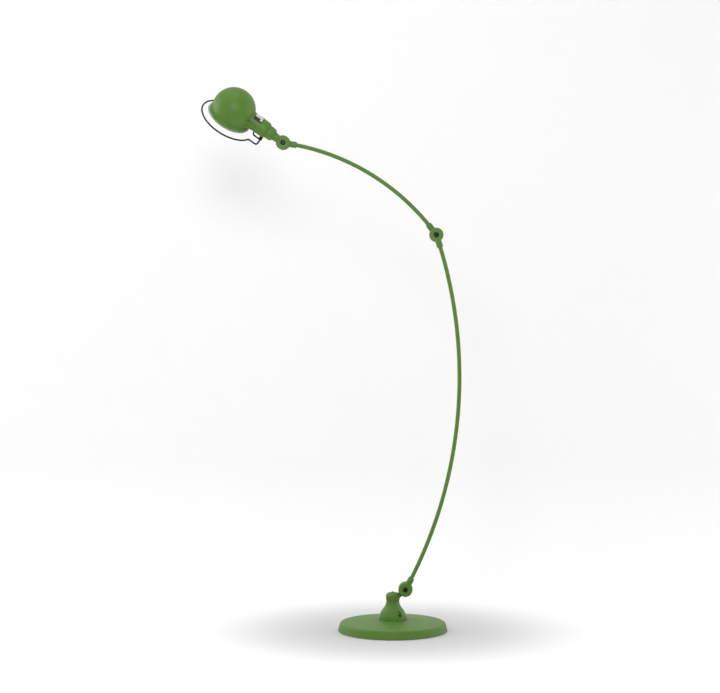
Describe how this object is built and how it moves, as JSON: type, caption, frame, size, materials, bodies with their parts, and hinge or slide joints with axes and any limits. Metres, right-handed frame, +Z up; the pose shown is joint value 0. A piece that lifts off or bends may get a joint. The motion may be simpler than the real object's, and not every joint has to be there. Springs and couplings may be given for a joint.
{
  "type": "floor lamp",
  "caption": "Floor lamp with a round weighted foot, two bowed tubular arms on disc-shaped friction joints, a swivelling ball-shaped shade and a wire ring guard.",
  "frame": {"origin": "centre of the foot's underside on the floor, on the axis of the base swivel", "axes": "+Z up, +X towards the lean of the lower arm, -X towards the lamp head, -Y towards the side that shows the upper joints' bolt heads"},
  "size_m": [0.5825, 0.2485, 1.2216],
  "materials": {
    "green_paint": "satin powder coat",
    "black_metal": "black satin coat",
    "shade_white": "satin powder coat outside, white inside",
    "zinc_steel": "zinc plated",
    "brass_parts": "plain",
    "pad_rubber": "matt",
    "wire_sleeve": "matt",
    "insulator": "moulded",
    "bush_plastic": "moulded",
    "holder_plastic": "moulded",
    "switch_black": "moulded",
    "rocker_silver": "silver lacquer",
    "bulb_glass": "opal coated inside",
    "bulb_shell": "rolled thread"
  },
  "bodies": {
    "base": {"floor_pad": "pad_rubber", "base_plate": "green_paint", "base_bell": "green_paint", "bell_screws": "black_metal", "swivel_spindle": "zinc_steel", "spindle_nut": "zinc_steel", "terminal_block": "insulator", "cable_grommet": "pad_rubber", "base_wires": "wire_sleeve"},
    "turret": {"turret_cap": "green_paint", "swivel_bush": "bush_plastic", "turret_washer": "holder_plastic", "cap_screw": "black_metal", "turret_wires": "wire_sleeve", "foot_bolt": "black_metal", "foot_nut": "zinc_steel", "foot_washer": "zinc_steel", "foot_brush_plate": "insulator"},
    "lower_arm": {"lower_tube": "green_paint", "lower_foot_hub": "green_paint", "lower_elbow_hub": "green_paint", "lower_grub_screws": "black_metal", "lower_wires": "wire_sleeve", "foot_contact_disc": "insulator", "foot_contact_rings": "brass_parts", "elbow_contact_disc": "insulator", "elbow_contact_rings": "brass_parts"},
    "upper_arm": {"upper_tube": "green_paint", "upper_elbow_hub": "green_paint", "upper_head_hub": "green_paint", "upper_grub_screws": "black_metal", "upper_wires": "wire_sleeve", "elbow_bolt": "black_metal", "elbow_nut": "zinc_steel", "elbow_washer": "zinc_steel", "elbow_brush_plate": "insulator", "head_bolt": "black_metal", "head_nut": "zinc_steel", "head_washer": "zinc_steel", "head_brush_plate": "insulator"},
    "neck": {"head_neck": "green_paint", "head_contact_disc": "insulator", "head_contact_rings": "brass_parts", "swivel_tube": "zinc_steel", "swivel_nut": "zinc_steel", "swivel_washer": "holder_plastic", "neck_wires": "wire_sleeve"},
    "head": {"lamp_body": "green_paint", "shade": "shade_white", "shade_screws": "zinc_steel", "lampholder": "holder_plastic", "holder_contacts": "brass_parts", "bulb_cap": "bulb_shell", "bulb_glass": "bulb_glass", "switch_housing": "switch_black", "wire_guard": "black_metal", "guard_clip": "black_metal", "clip_screw": "black_metal", "head_wires": "wire_sleeve"},
    "rocker": {"switch_rocker": "rocker_silver"}
  },
  "joints": [
    {"name": "base_swivel", "type": "hinge", "parent": "base", "child": "turret", "pos_m": [0, 0, 0.07], "axis": [0, 0, 1], "range_deg": [-170, 170]},
    {"name": "lower_arm_tilt", "type": "hinge", "parent": "turret", "child": "lower_arm", "pos_m": [0.0286, 0, 0.0945], "axis": [0, -1, 0], "range_deg": [-60, 50]},
    {"name": "elbow", "type": "hinge", "parent": "lower_arm", "child": "upper_arm", "pos_m": [0.09693, 0, 0.89158], "axis": [0, -1, 0], "range_deg": [-120, 75]},
    {"name": "head_tilt", "type": "hinge", "parent": "upper_arm", "child": "neck", "pos_m": [-0.24593, 0, 1.09759], "axis": [0, -1, 0], "range_deg": [-90, 105]},
    {"name": "head_swivel", "type": "hinge", "parent": "neck", "child": "head", "pos_m": [-0.24593, -0.0068, 1.09759], "axis": [-0.809, 0, 0.5878], "range_deg": [-150, 150]},
    {"name": "switch", "type": "hinge", "parent": "head", "child": "rocker", "pos_m": [-0.29702, -0.0152, 1.15198], "axis": [0.3027, 0.8572, 0.4167], "range_deg": [0, 8]}
  ]
}
